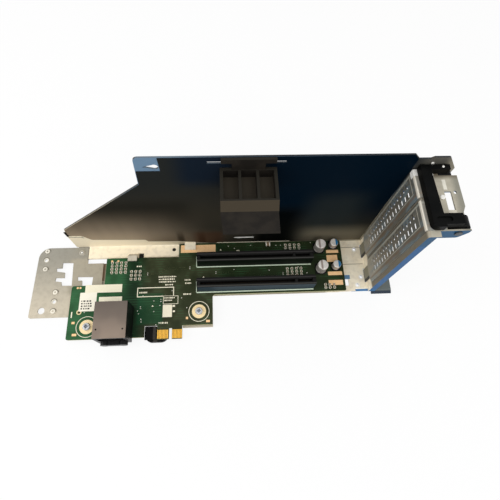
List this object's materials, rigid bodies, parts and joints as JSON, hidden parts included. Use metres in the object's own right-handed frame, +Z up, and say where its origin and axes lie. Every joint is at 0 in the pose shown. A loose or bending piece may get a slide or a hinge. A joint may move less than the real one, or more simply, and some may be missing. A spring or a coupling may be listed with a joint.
{
  "type": "server riser",
  "caption": "Server riser: folded steel cage with a riser board, card slots, vented slot covers, a hinged retention latch and a card support.",
  "frame": {"origin": "on the riser board's top face, in the far slot's card plane, at that slot housing's outer end", "axes": "+X along the slots towards the slot covers, +Y to the rear wall, +Z up from the board"},
  "size_m": [0.2809, 0.0812, 0.1195],
  "materials": {
    "zinc_steel": "zinc coated sheet, satin",
    "cover_steel": "zinc coated sheet, satin",
    "black_film": "glossy polyester film",
    "board_green": "solder mask over laminate",
    "slot_black": "moulded, matte",
    "receptacle_plastic": "moulded, satin",
    "contact_gold": "gold plated",
    "screw_steel": "nickel plated",
    "can_aluminium": "bare can",
    "chip_ceramic": "chip parts with tinned ends",
    "support_black": "moulded, matte",
    "latch_black": "moulded, matte"
  },
  "bodies": {
    "cage": {"riser_board": "board_green", "base_tray": "zinc_steel", "side_plate": "zinc_steel", "rear_wall": "zinc_steel", "insulator_film": "black_film", "end_bracket": "zinc_steel", "slot_cover_far": "cover_steel", "slot_cover_near": "cover_steel", "slot_connector_far": "slot_black", "slot_connector_near": "slot_black", "edge_receptacle": "receptacle_plastic", "receptacle_pins": "contact_gold", "guide_block": "slot_black", "board_screws": "screw_steel", "rivets": "screw_steel", "large_capacitors": "can_aluminium", "large_capacitor_feet": "slot_black", "small_capacitor_far": "can_aluminium", "small_capacitor_near": "can_aluminium", "small_capacitor_far_foot": "slot_black", "small_capacitor_near_foot": "slot_black", "chip_parts": "chip_ceramic", "card_support": "support_black"},
    "latch": {"retention_latch": "latch_black", "hinge_pin_far": "screw_steel", "hinge_pin_near": "screw_steel"}
  },
  "joints": [
    {"name": "latch_hinge", "type": "hinge", "parent": "cage", "child": "latch", "pos_m": [0.1507, 0, 0.0976], "axis": [0, 1, 0], "range_deg": [0, 95]}
  ]
}
